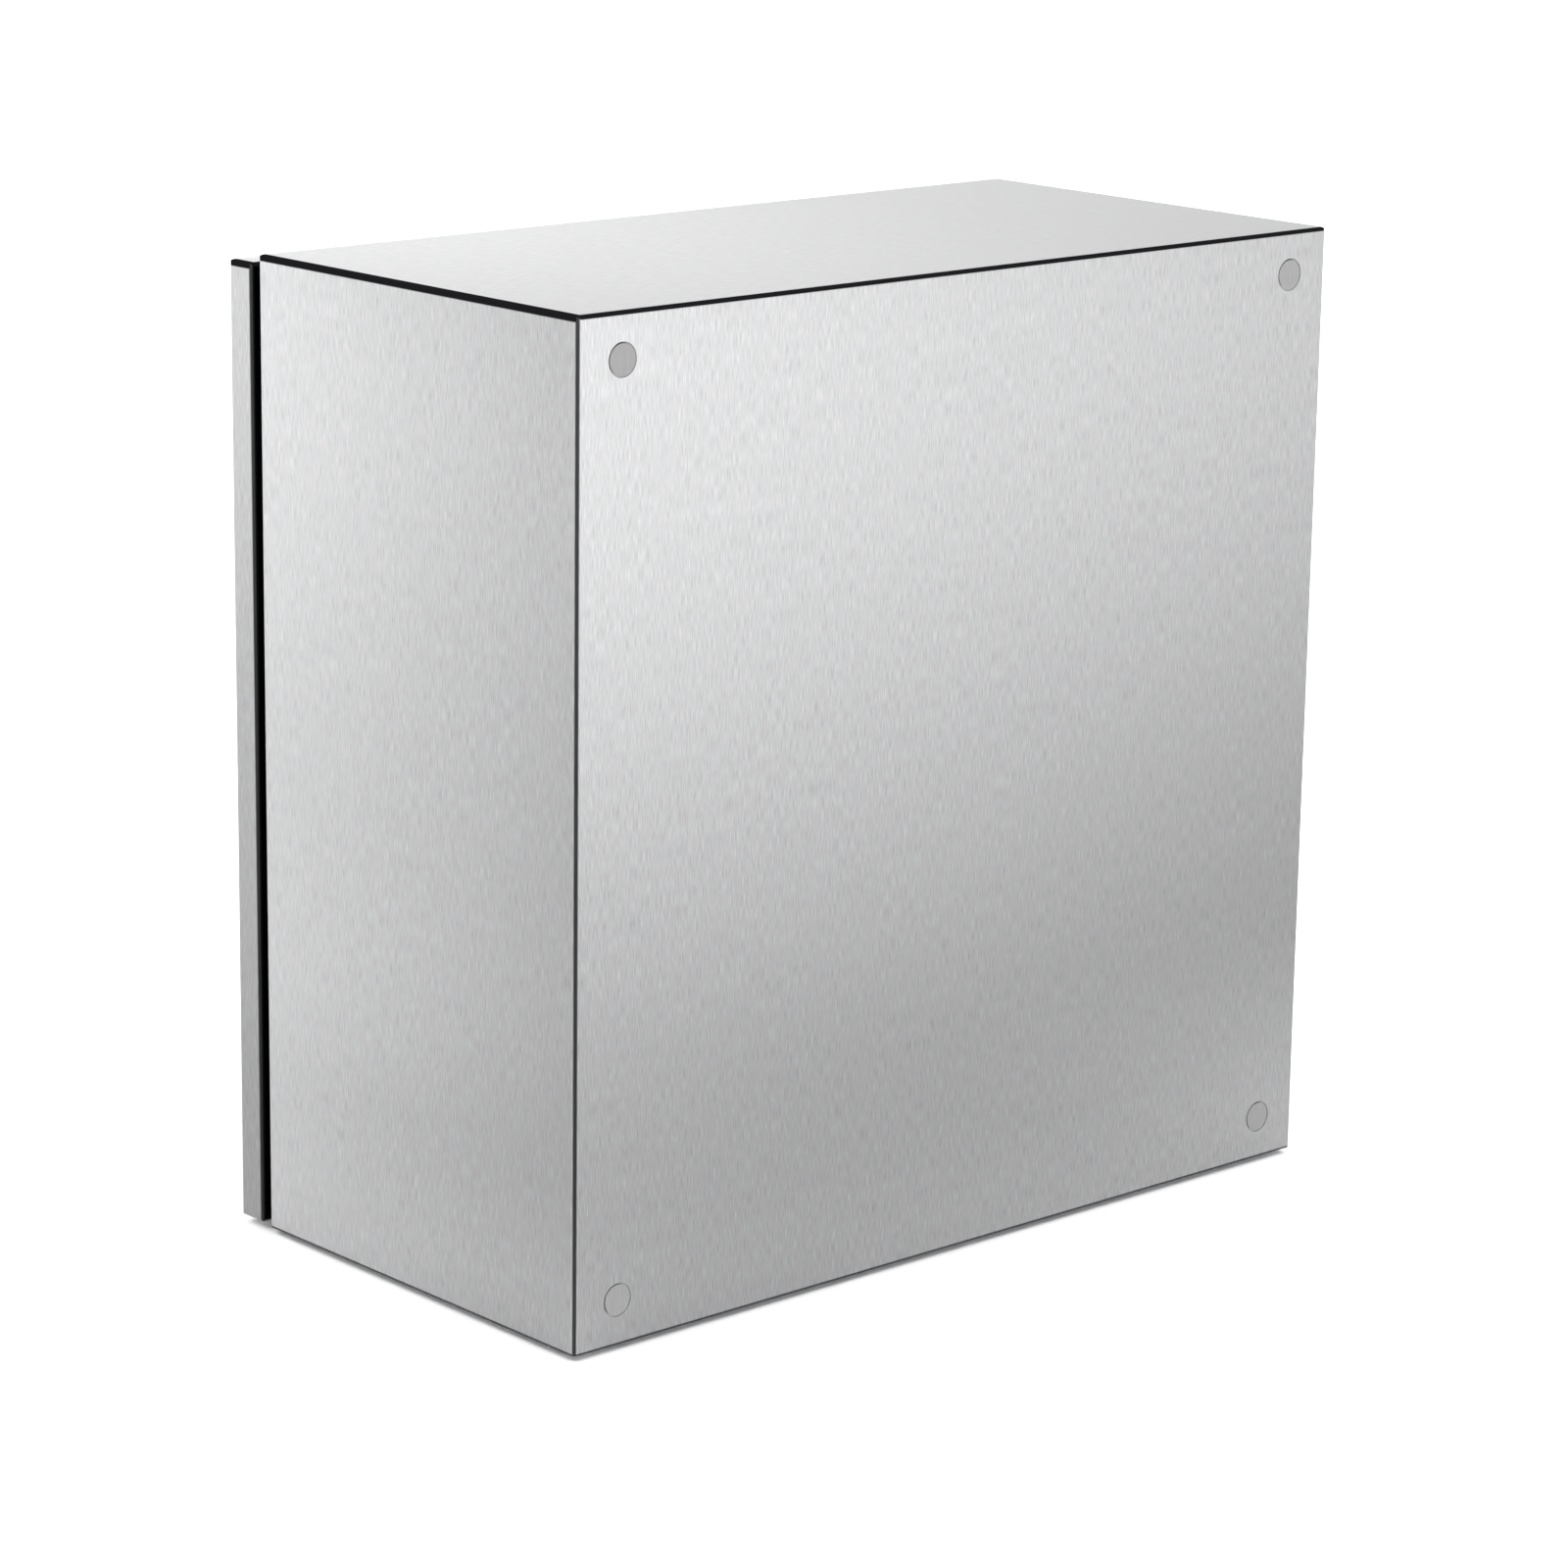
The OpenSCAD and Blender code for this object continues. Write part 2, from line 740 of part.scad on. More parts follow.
module drawer_front() {
    wall = [sheet_t, sheet_t, sheet_t];
    lo = [-half_w, front_face_y, foot_h];
    hi = [half_w, front_back_y, front_top_z];
    lip = 26;
    color(steel) difference() {
        soft_block(lo, hi, bend_r);
        soft_block(lo + wall, hi - wall, inner_r);
        block([lo.x + lip, hi.y - 2 * sheet_t, lo.z + lip], [hi.x - lip, hi.y + eps, hi.z - lip]);
        handle_places() translate([0, -eps, 0]) rod_y([0, 0, 0], 3.2, sheet_t + 2 * eps);
        for (x = [start_x, stop_x])
            rod_y([x, front_face_y - eps, control_z], button_r + button_clear, sheet_t + 2 * eps);
        rod_y([key_x, front_face_y - eps, control_z], barrel_r, sheet_t + 2 * eps);
        rod_y([lens_x, front_face_y - eps, control_z], lens_r, sheet_t + 2 * eps);
    }
}

module drawer_front_liner() {
    inset = half_w - bend_r;
    t = 2.5;
    y = front_back_y - sheet_t;
    color([0.20, 0.21, 0.22])
        block([-inset, y - t, foot_h + bend_r], [inset, y, front_top_z - bend_r]);
}

module front_gasket() {
    outer = 10;
    inner = 17;
    y1 = shell_front_y - 0.3;
    color(black) difference() {
        block([-half_w + outer, front_back_y, foot_h + outer], [half_w - outer, y1, front_top_z - outer]);
        block(
            [-half_w + inner, front_back_y - eps, foot_h + inner],
            [half_w - inner, y1 + eps, front_top_z - inner]
        );
    }
}

module handle_places() {
    for (sx = [-1, 1])
        translate([sx * 205, front_face_y, handle_z]) children();
}

module handle() {
    bar_r = 8;
    bar_half = 232;
    bar_y = front_face_y - handle_reach + bar_r;
    color(steel) difference() {
        union() {
            rod_x([-bar_half + bar_r, bar_y, handle_z], bar_r, 2 * (bar_half - bar_r));
            for (sx = [-1, 1])
                translate([sx * (bar_half - bar_r), bar_y, handle_z]) sphere(bar_r);
            handle_places() rod_y([0, bar_y - front_face_y, 0], 6, front_face_y - bar_y);
        }
        handle_places() rod_y([0, -14, 0], 2.5, 14 + eps);
    }
}

module handle_screws() {
    color(zinc) handle_places() union() {
        rod_y([0, -13, 0], 2.5, 13 + sheet_t);
        rod_y([0, sheet_t, 0], 5, 3.5);
    }
}

module drawer_tray() {
    half = bay_half - slide_t;
    front = front_back_y - sheet_t;
    rear = bin_rear_y + 8;
    side_top = tray_z + 62;
    rear_top = tray_z + 16;
    front_top = bin_top - 11;
    color(zinc) union() {
        block([-half, front, tray_z], [half, rear, bin_z]);
        block([-half, front, tray_z], [half, front + tray_t, front_top]);
        block([-half, rear - tray_t, tray_z], [half, rear, rear_top]);
        both_sides() block([half - tray_t, front, tray_z], [half, rear, side_top]);
    }
}

module bin() {
    w = bin_wall;
    lo = [-bin_half, bin_front_y, bin_z];
    hi = [bin_half, bin_rear_y, bin_top];
    color([0.46, 0.48, 0.50]) difference() {
        union() {
            upright_block(lo, hi, bin_corner_r);
            upright_block(
                [lo.x - bin_rim, lo.y - bin_rim, bin_top - w],
                [hi.x + bin_rim, hi.y + bin_rim, bin_top],
                bin_corner_r + bin_rim
            );
        }
        upright_block(lo + [w, w, w], hi + [-w, -w, eps], bin_corner_r - w);
    }
}

module bag_pegs() {
    r = 5;
    length = 5;
    color(white_plastic) for (sx = [-1, 1], y = [bin_front_y - length, bin_rear_y])
        rod_y([sx * 120, y, bin_top - 15], r, length);
}

// ---- Controls ----

module control_bezel() {
    y0 = front_face_y - bezel_t - eps;
    depth = bezel_t + 2 * eps;
    color(black) difference() {
        translate([0, front_face_y, control_z]) rotate([90, 0, 0])
            linear_extrude(bezel_t) rounded_rect([168, 36], 17.9);
        for (x = [start_x, stop_x])
            rod_y([x, y0, control_z], button_r + button_clear, depth);
        rod_y([key_x, y0, control_z], barrel_r, depth);
        rod_y([lens_x, y0, control_z], lens_r, depth);
    }
}

module control_housing() {
    y0 = front_face_y + sheet_t;
    wall = [housing_wall, housing_wall, housing_wall];
    lo = [-76, y0, control_z - 16];
    hi = [76, y0 + 14, control_z + 16];
    color(black) difference() {
        block(lo, hi);
        block(lo + wall, hi - wall);
        for (x = [start_x, stop_x])
            rod_y([x, y0 - eps, control_z], button_r + button_clear, housing_wall + 2 * eps);
        rod_y([key_x, y0 - eps, control_z], barrel_r, housing_wall + 2 * eps);
        rod_y([lens_x, y0 - eps, control_z], lens_r, housing_wall + 2 * eps);
    }
}

// Round push button with a flange that keeps it in the housing
module push_button(x) {
    proud = button_travel + 1;
    y0 = front_face_y - bezel_t - proud;
    flange_y = front_face_y + sheet_t + housing_wall + button_clear;
    dish_r = 20;
    dish_depth = 0.8;
    difference() {
        union() {
            rod_y([x, y0, control_z], button_r, flange_y - y0);
            rod_y([x, flange_y, control_z], button_r + 1.8, 1.5);
        }
        // finger dish
        translate([x, y0 + dish_depth - dish_r, control_z]) sphere(dish_r);
    }
}

module start_button() {
    color([0.10, 0.42, 0.20]) push_button(start_x);
}

module stop_button() {
    color([0.60, 0.08, 0.07]) push_button(stop_x);
}

module status_lens() {
    y0 = front_face_y - bezel_t;
    color([0.90, 0.55, 0.10]) intersection() {
        rod_y([lens_x, y0 - 1.5, control_z], lens_r, bezel_t + sheet_t + 4.5);
        translate([lens_x, y0 + 5, control_z]) sphere(6.5);
    }
}

module key_barrel() {
    y0 = front_face_y - bezel_t - 2;
    color(steel) difference() {
        union() {
            rod_y([key_x, y0, control_z], barrel_r + 1.5, 2);
            rod_y([key_x, y0, control_z], barrel_r, 15);
        }
        rod_y([key_x, y0 - eps, control_z], key_r + run_clear, 15 + 2 * eps);
    }
}

module key_knob() {
    y0 = front_face_y - bezel_t - 2;
    grip = 9;
    color(black) union() {
        rod_y([key_x, y0 - 0.3, control_z], key_r, 13);
        rod_y([key_x, y0 - 3.3, control_z], 9, 3);
        intersection() {
            rod_y([key_x, y0 - 3.3 - grip, control_z], 9, grip);
            block([key_x - 2.5, y0 - 20, control_z - 10], [key_x + 2.5, y0, control_z + 10]);
        }
    }
}

// ---- Ram ----

module ram_plate() {
    rim = 3;
    rim_h = 24;
    lo = [-ram_half_w, ram_y - ram_half_d, ram_z];
    hi = [ram_half_w, ram_y + ram_half_d, ram_z + rim_h];
    r = 12;
    color(dark_steel) difference() {
        upright_block(lo, hi, r);
        upright_block(lo + [rim, rim, ram_plate_t], hi + [-rim, -rim, eps], r - rim);
    }
}

module ram_cover() {
    t = 1.5;
    lo = [-cover_half_w, ram_y - cover_half_d, ram_z + ram_plate_t];
    hi = [cover_half_w, ram_y + cover_half_d, beam_z - 8];
    r = 10;
    color(dark_steel) difference() {
        upright_block(lo, hi, r);
        upright_block(lo + [t, t, -eps], hi + [-t, -t, eps], r - t);
    }
}

module ram_columns() {
    t = 3;
    half = column_w / 2;
    color(dark_steel) both_sides() difference() {
        block(
            [column_x - half, ram_y - half, ram_z + ram_plate_t],
            [column_x + half, ram_y + half, beam_z]
        );
        block(
            [column_x - half + t, ram_y - half + t, ram_z],
            [column_x + half - t, ram_y + half - t, beam_z - t]
        );
        translate([column_x, ram_y, beam_z - 2 * t]) cylinder(r = 4.1, h = 3 * t);
    }
}

module ram_beam() {
    half = 272;
    w = beam_wall;
    color(dark_steel) difference() {
        block([-half, ram_y - beam_half, beam_z], [half, ram_y + beam_half, beam_z + beam_h]);
        block(
            [-half - eps, ram_y - beam_half + w, beam_z + w],
            [half + eps, ram_y + beam_half - w, beam_z + beam_h - w]
        );
        screw_places() translate([0, 0, beam_z - eps]) cylinder(r = 14, h = beam_h + 2 * eps);
        both_sides() translate([column_x, ram_y, beam_z - eps]) cylinder(r = 4.1, h = beam_h + 2 * eps);
    }
}

module ram_bolts() {
    color(zinc) both_sides() translate([column_x, ram_y, beam_z + beam_h])
        hex_bolt(7.5, 5.3, 4, beam_h + 12);
}

module ram_guides() {
    half = slot_half - 0.4;
    x0 = bay_half - 3;
    x1 = x0 + 7.5;
    z1 = beam_z + beam_h;
    color(white_plastic) both_sides() difference() {
        block([x0, ram_y - half, beam_z], [x1, ram_y + half, z1]);
        block([x0 - eps, ram_y - beam_half, beam_z - eps], [x1 + eps, ram_y + beam_half, z1 + eps]);
    }
}

module power_nuts() {
    flange_h = 6;
    color([0.75, 0.58, 0.25]) screw_places() difference() {
        union() {
            translate([0, 0, beam_z - flange_h]) cylinder(r = 17.5, h = flange_h);
            translate([0, 0, beam_z]) cylinder(r = 14, h = beam_h);
        }
        translate([0, 0, beam_z - flange_h - eps])
            cylinder(r = screw_r + run_clear, h = beam_h + flange_h + 2 * eps);
    }
}

// ---- Electrics and air ----

module terminal_box() {
    w = box_wall;
    color(white_plastic) difference() {
        block(box_lo, box_hi);
        block(box_lo + [w, w, w], box_hi + [-w, -w, eps]);
        rod_x([box_lo.x - eps, gland_y, gland_z], gland_r, w + 2 * eps);
        rod_x([box_hi.x - w - eps, lead_y, lead_z], lead_r, w + 2 * eps);
    }
}

module terminal_box_lid() {
    color(white_plastic) block([box_lo.x, box_lo.y, box_hi.z], [box_hi.x, box_hi.y, box_hi.z + 2]);
}

module terminal_block() {
    lo = box_lo + [22, 14, box_wall];
    pitch = 10;
    color([0.88, 0.86, 0.78]) difference() {
        block(lo, lo + [40, 4 * pitch + 2, 16]);
        for (i = [0:3])
            translate(lo + [11, 6 + i * pitch, 6]) cylinder(r = 3, h = 12);
        for (i = [0:3])
            translate(lo + [29, 6 + i * pitch, 6]) cylinder(r = 3, h = 12);
    }
}

module cable_gland() {
    proud = 4;
    inside = 14;
    color(black) difference() {
        union() {
            rod_x([-half_w - 2, gland_y, gland_z], 12, 2);
            rod_x([-half_w - proud, gland_y, gland_z], 9.5, proud);
            rod_x([-half_w, gland_y, gland_z], gland_r, inside);
            rod_x([box_lo.x + box_wall, gland_y, gland_z], 12, 5, $fn = 6);
        }
        rod_x([-half_w - proud - eps, gland_y, gland_z], gland_bore_r, inside + proud + 2 * eps);
    }
}

// Cable from the terminal box along the rear wall and forward into the motor
module motor_lead() {
    x0 = box_hi.x - box_wall;
    x1 = screw_x - lead_bend_r;
    y1 = motor_y + motor_r - motor_wall;
    color(black) union() {
        rod_x([x0, lead_y, lead_z], lead_r, x1 - x0);
        translate([x1, lead_y - lead_bend_r, lead_z])
            rotate_extrude(angle = 90) translate([lead_bend_r, 0]) circle(lead_r);
        rod_y([screw_x, y1, lead_z], lead_r, lead_y - lead_bend_r - y1);
    }
}

module position_sensors() {
    x = bay_half + frame_t;
    size = [8, 18, 20];
    color(black) {
        translate([-x - size.x, frame_front_y + 12, foot_h + 296]) cube(size);
        translate([x, ram_y + slot_half + 12, frame_top_z - 40]) cube(size);
    }
}

module fan_housing() {
    x1 = -bay_half - frame_t;
    x0 = x1 - fan_t;
    half = fan_size / 2;
    strut_t = 2;
    color(black) union() {
        difference() {
            block([x0, fan_y - half, fan_z - half], [x1, fan_y + half, fan_z + half]);
            rod_x([x0 - eps, fan_y, fan_z], fan_bore_r, fan_t + 2 * eps);
        }
        rod_x([x0, fan_y, fan_z], 15, 3);
        rod_x([x0, fan_y, fan_z], 2, fan_t - 5);
        for (a = [45:90:315])
            translate([x0, fan_y, fan_z]) rotate([a, 0, 0])
                translate([0.5, -2, 12]) cube([strut_t, 4, fan_bore_r - 9]);
    }
}

module fan_rotor() {
    x0 = -bay_half - frame_t - fan_t + 4;
    depth = 17;
    blades = 7;
    color([0.12, 0.12, 0.13]) translate([x0, fan_y, fan_z]) difference() {
        union() {
            rod_x([0, 0, 0], 14, depth);
            for (i = [0:blades - 1])
                rotate([i * 360 / blades, 0, 0]) intersection() {
                    translate([depth / 2, 0, 26]) rotate([0, 0, 40]) cube([22, 1.6, 28], center = true);
                    rod_x([0.5, 0, 0], fan_bore_r - 1.5, depth - 1);
                }
        }
        rod_x([-eps, 0, 0], 2 + run_clear, depth + 2 * eps);
    }
}

module filter_cartridge() {
    x1 = -bay_half - frame_t - fan_t - 0.5;
    half = fan_size / 2 + 2;
    slots = 7;
    pitch = 10;
    color([0.25, 0.26, 0.27]) difference() {
        block([x1 - 22, fan_y - half, fan_z - half], [x1, fan_y + half, fan_z + half]);
        for (i = [0:slots - 1])
            translate([x1 - 22 - eps, fan_y - half + 5, fan_z - half + 9 + i * pitch])
                cube([22 + 2 * eps, 2 * half - 10, 6]);
    }
}

cabinet_top();
cabinet_rear();
cabinet_sides();
front_frame();
base_pan();
wall_hole_plugs();
glide_feet();
left_side_frame();
right_side_frame();
top_crossmember();
drive_cover();
cabinet_screws();
screw_bearings();
drive_chain();
motor_bracket();
motor_housing();
motor_end_bells();
motor_stator();
outer_slide_rails();
terminal_box();
terminal_box_lid();
terminal_block();
cable_gland();
motor_lead();
position_sensors();
fan_housing();
filter_cartridge();
fan_rotor();
drawer_front();
drawer_front_liner();
front_gasket();
handle();
handle_screws();
drawer_tray();
inner_slide_rails();
bin();
bag_pegs();
control_bezel();
control_housing();
status_lens();
key_barrel();
key_knob();
start_button();
stop_button();
left_middle_rail();
right_middle_rail();
ram_plate();
ram_cover();
ram_columns();
ram_beam();
ram_bolts();
ram_guides();
power_nuts();
left_power_screw();
left_sprocket();
right_power_screw();
right_sprocket();
drive_gear();
motor_rotor();
motor_pinion();
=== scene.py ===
import math

import bmesh
import bpy
from mathutils import Matrix, Vector


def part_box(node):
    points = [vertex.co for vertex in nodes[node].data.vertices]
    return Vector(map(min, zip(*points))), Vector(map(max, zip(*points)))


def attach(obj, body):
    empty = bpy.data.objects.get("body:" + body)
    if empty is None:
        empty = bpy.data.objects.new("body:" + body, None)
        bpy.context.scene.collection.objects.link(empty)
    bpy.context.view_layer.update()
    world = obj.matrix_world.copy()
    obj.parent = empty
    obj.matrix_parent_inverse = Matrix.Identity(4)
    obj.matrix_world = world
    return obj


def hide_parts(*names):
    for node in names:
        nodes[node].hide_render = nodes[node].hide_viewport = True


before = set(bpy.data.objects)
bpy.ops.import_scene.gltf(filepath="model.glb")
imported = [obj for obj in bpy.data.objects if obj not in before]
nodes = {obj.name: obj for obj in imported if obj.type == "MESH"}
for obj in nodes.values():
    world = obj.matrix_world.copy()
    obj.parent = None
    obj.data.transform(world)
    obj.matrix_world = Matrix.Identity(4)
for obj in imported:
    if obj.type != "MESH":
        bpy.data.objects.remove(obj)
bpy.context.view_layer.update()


def box_of(names):
    """The least and greatest corner of several nodes together."""
    corners = [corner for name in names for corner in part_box(name)]
    return Vector(map(min, zip(*corners))), Vector(map(max, zip(*corners)))


SHELL = ["cabinet_top", "cabinet_rear", "cabinet_sides", "front_frame"]  # one folded sheet
shell_lo, shell_hi = box_of(SHELL)
front_lo, front_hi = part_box("drawer_front")
caps_lo, caps_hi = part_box("wall_hole_plugs")


# ---------------------------------------------------------------- camera

# The view that was fitted to the box's corners. CAMERA_AWAY goes from the shell's lower right rear
# corner, in shell heights.
CAMERA_AWAY = Vector((2.84993, 3.45473, 1.69304))
CAMERA_FORWARD = Vector((-0.64870, -0.72080, -0.24420))
CAMERA_UP = Vector((-0.15292, -0.19088, 0.96963))
SENSOR_WIDTH = 36.0
FOCAL_LENGTH = 114.46
CLIP_START, CLIP_END = 0.05, 200.0


def make_camera():
    """The photograph's view: from behind, on the right and a little above."""
    corner = Vector((shell_hi.x, shell_hi.y, shell_lo.z))
    forward = CAMERA_FORWARD.normalized()
    right = forward.cross(CAMERA_UP).normalized()
    up = right.cross(forward)
    data = bpy.data.cameras.new("camera")
    data.sensor_width = SENSOR_WIDTH
    data.lens = FOCAL_LENGTH
    data.clip_start = CLIP_START
    data.clip_end = CLIP_END
    camera = bpy.data.objects.new("camera", data)
    bpy.context.scene.collection.objects.link(camera)
    turn = Matrix((right, up, -forward)).transposed().to_4x4()
    place = corner + CAMERA_AWAY * (shell_hi.z - shell_lo.z)
    camera.matrix_world = Matrix.Translation(place) @ turn
    bpy.context.scene.camera = camera


# ---------------------------------------------------------------- node helpers

class Nodes:
    """A material or world node tree, with short calls for the nodes used here."""

    def __init__(self, tree):
        self.tree = tree
        self.tree.nodes.clear()

    def add(self, kind, **values):
        node = self.tree.nodes.new(kind)
        for key, value in values.items():
            setattr(node, key, value)
        return node

    def put(self, socket, value):
        """Links or sets a socket. None leaves it as it is."""
        if isinstance(value, bpy.types.NodeSocket):
            self.tree.links.new(value, socket)
        elif value is not None:
            socket.default_value = value

    def put_all(self, sockets, values):
        for socket, value in zip(sockets, values):
            self.put(socket, value)

    def math(self, operation, *values):
        node = self.add("ShaderNodeMath", operation=operation)
        self.put_all(node.inputs, values)
        return node.outputs[0]

    def product(self, first, *others):
        for other in others:
            first = self.math("MULTIPLY", first, other)
        return first

    def greatest(self, first, *others):
        for other in others:
            first = self.math("MAXIMUM", first, other)
        return first

    def size(self, value):
        return self.math("ABSOLUTE", value)

    def vector(self, operation, a, b):
        node = self.add("ShaderNodeVectorMath", operation=operation)
        self.put_all(node.inputs, (a, b))
        return node.outputs["Value" if operation == "DOT_PRODUCT" else "Vector"]

    def split(self, vector):
        node = self.add("ShaderNodeSeparateXYZ")
        self.put(node.inputs[0], vector)
        return tuple(node.outputs)

    def step(self, value, low, high, to_low=0.0, to_high=1.0):
        """A smooth change from to_low to to_high as the value goes from low to high."""
        node = self.add("ShaderNodeMapRange", interpolation_type="SMOOTHSTEP")
        self.put_all(node.inputs, (value, low, high, to_low, to_high))
        return node.outputs[0]

    def scale(self, value, low, high, to_low=0.0, to_high=1.0):
        """The same in a straight line."""
        node = self.add("ShaderNodeMapRange", clamp=True)
        self.put_all(node.inputs, (value, low, high, to_low, to_high))
        return node.outputs[0]

    def noise(self, vector, scale, detail=2.0, roughness=0.5):
        node = self.add("ShaderNodeTexNoise")
        self.put(node.inputs["Vector"], vector)
        node.inputs["Scale"].default_value = scale
        node.inputs["Detail"].default_value = detail
        node.inputs["Roughness"].default_value = roughness
        return node.outputs["Fac"]

    def cells(self, vector, scale):
        node = self.add("ShaderNodeTexVoronoi")
        self.put(node.inputs["Vector"], vector)
        node.inputs["Scale"].default_value = scale
        return node.outputs

    def mix(self, factor, a, b, blend="MIX"):
        node = self.add("ShaderNodeMix", data_type="RGBA", blend_type=blend)
        self.put_all((node.inputs[0], node.inputs[6], node.inputs[7]), (factor, a, b))
        return node.outputs[2]

    def blend(self, factor, a, b):
        node = self.add("ShaderNodeMix", data_type="FLOAT")
        self.put_all((node.inputs[0], node.inputs[2], node.inputs[3]), (factor, a, b))
        return node.outputs[0]

    def mix_vector(self, factor, a, b):
        node = self.add("ShaderNodeMix", data_type="VECTOR")
        self.put_all((node.inputs[0], node.inputs[4], node.inputs[5]), (factor, a, b))
        return node.outputs[1]

    def bump(self, height, strength, distance):
        node = self.add("ShaderNodeBump")
        node.inputs["Strength"].default_value = strength
        node.inputs["Distance"].default_value = distance
        self.put(node.inputs["Height"], height)
        return node.outputs[0]

    def place(self):
        return self.add("ShaderNodeTexCoord").outputs["Object"]

    def normal(self):
        return self.add("ShaderNodeNewGeometry").outputs["Normal"]


def rgb(color, k=1.0):
    return (color[0] * k, color[1] * k, color[2] * k, 1.0)


def shaded(name):
    """A new material: (itself, its node tree, its Principled shader)."""
    material = bpy.data.materials.new(name)
    material.use_nodes = True
    n = Nodes(material.node_tree)
    out = n.add("ShaderNodeOutputMaterial")
    shader = n.add("ShaderNodeBsdfPrincipled")
    n.put(out.inputs[0], shader.outputs[0])
    return material, n, shader


def fill(n, shader, color, roughness, normal=None, metallic=0.0):
    """Puts in a shader's main values."""
    n.put(shader.inputs["Base Color"], color)
    n.put(shader.inputs["Roughness"], roughness)
    n.put(shader.inputs["Normal"], normal)
    n.put(shader.inputs["Metallic"], metallic)


def tinted(n, factor, base, spread):
    """The base colour, darker where the factor is 0 and lighter where it is 1."""
    return n.mix(factor, rgb(base, 1 - spread), rgb(base, 1 + spread))


# ---------------------------------------------------------------- brushed steel

FINE = (1900.0, 105.0)  # noise scale across and along the finer brushing
BROAD = (240.0, 38.0)  # the same for the broader streaks
FINE_SHARE, BROAD_SHARE = 0.88, 0.12
STREAKS = 0.23  # contrast of the brushing
STREAK_RANGE = (0.25, 0.75)  # the part of the noise that the contrast spans
ROUGH_SPREAD = 0.035
FACING = (0.6, 0.8)  # the normal's part along an axis, from "faces elsewhere" to "faces there"
TOP_FACING = (0.70, 0.72)
ON_TOP = (0.90, 0.97)
TO_BACK = (0.5, 0.7)

# Painted reflection gradient: how bright the painted light and shade on the sheet are. A curve is
# (from, to, value at from, value at to). Heights are shares of the shell's, and places on the top
# go from -1 to 1.
REAR_HEIGHT = (0.2, 1.0, 0.64, 1.07)
REAR_FOOT = (0.0, 0.15, 0.05, 0.0)
REAR_FALL = (0.0, 0.3, 0.14, -0.26)  # the change towards the right
SIDE_HEIGHT = (0.4, 0.95, 0.84, 1.05)
SIDE_FOOT = (0.0, 0.2, 0.17, 0.0)
SIDE_FALL = -0.32
TOP_ACROSS = (-1.2, 0.8, 0.84, 1.28)
TOP_BACKWARD = (-1.0, 1.0, 1.0, 0.78)

# Painted dark reflection along the rolled edges, and painted shade along the sheet's foot.
ROLL = 0.0042  # how far the dark line of a rolled edge reaches
CROWN_SOFT, REAR_SOFT = 0.8, 0.9  # how far in from the edge it is fully dark, in shares of ROLL
SIDE_SOFT = (0.9, 0.75)
REAR_BEND = (0.30, 0.62)  # twice the product of two parts of the normal, which is 1 mid-bend
UPRIGHT_BEND = (0.45, 0.90)
UPRIGHT_DARK = 0.93
FOOT_SHADE_START, FOOT_SHADE_END, FOOT_SHADE_DARK = 0.0008, 0.0014, 0.9  # painted shade along the sheet's foot
EDGE_REFLECTION_AND_SHADE_COLOR = (0.008, 0.008, 0.009, 1.0)
# painted shade: the black of the shadow gap
GAP_SHADE_COLOR = (0.006, 0.006, 0.006, 1.0)


def streaks(n, along_x, scales, detail):
    """Noise drawn out upright, or along X where along_x is 1."""
    across, along = scales
    at = n.place()
    upright = n.vector("MULTIPLY", at, (across, across, along))
    level = n.vector("MULTIPLY", at, (along, across, across))
    return n.noise(n.mix_vector(along_x, upright, level), 1.0, detail=detail)


def grain(n, along_x):
    """The brushing's finer and broader streaks, each about 0 to 1."""
    return streaks(n, along_x, FINE, 1.0), streaks(n, along_x, BROAD, 2.0)


def painted_reflection_gradient(n, normal, flat_top):
    """Painted reflection gradient: upright faces darker downwards and to their right, lighter at
    the foot, and the top darker to the rear left.
    """
    x, y, z = n.split(n.place())
    nx, ny, _ = n.split(normal)
    half = (shell_hi - shell_lo) / 2
    centre = (shell_hi + shell_lo) / 2
    u = n.math("DIVIDE", n.math("SUBTRACT", x, centre.x), half.x)
    v = n.math("DIVIDE", n.math("SUBTRACT", y, centre.y), half.y)
    h = n.math("DIVIDE", z, shell_hi.z)
    right = n.math("SUBTRACT", n.product(v, nx), n.product(u, ny))
    across = n.scale(right, -1.0, 1.0)
    back = n.step(n.size(ny), *FACING)
    rear_down = n.math("ADD", n.step(h, *REAR_HEIGHT), n.step(h, *REAR_FOOT))
    side_down = n.math("ADD", n.step(h, *SIDE_HEIGHT), n.step(h, *SIDE_FOOT))
    down = n.blend(back, side_down, rear_down)
    fall = n.blend(back, SIDE_FALL, n.step(h, *REAR_FALL))
    upright = n.product(down, n.math("MULTIPLY_ADD", across, fall, 1.0))
    top = n.product(n.step(u, *TOP_ACROSS), n.scale(v, *TOP_BACKWARD))
    return n.blend(flat_top, upright, top)


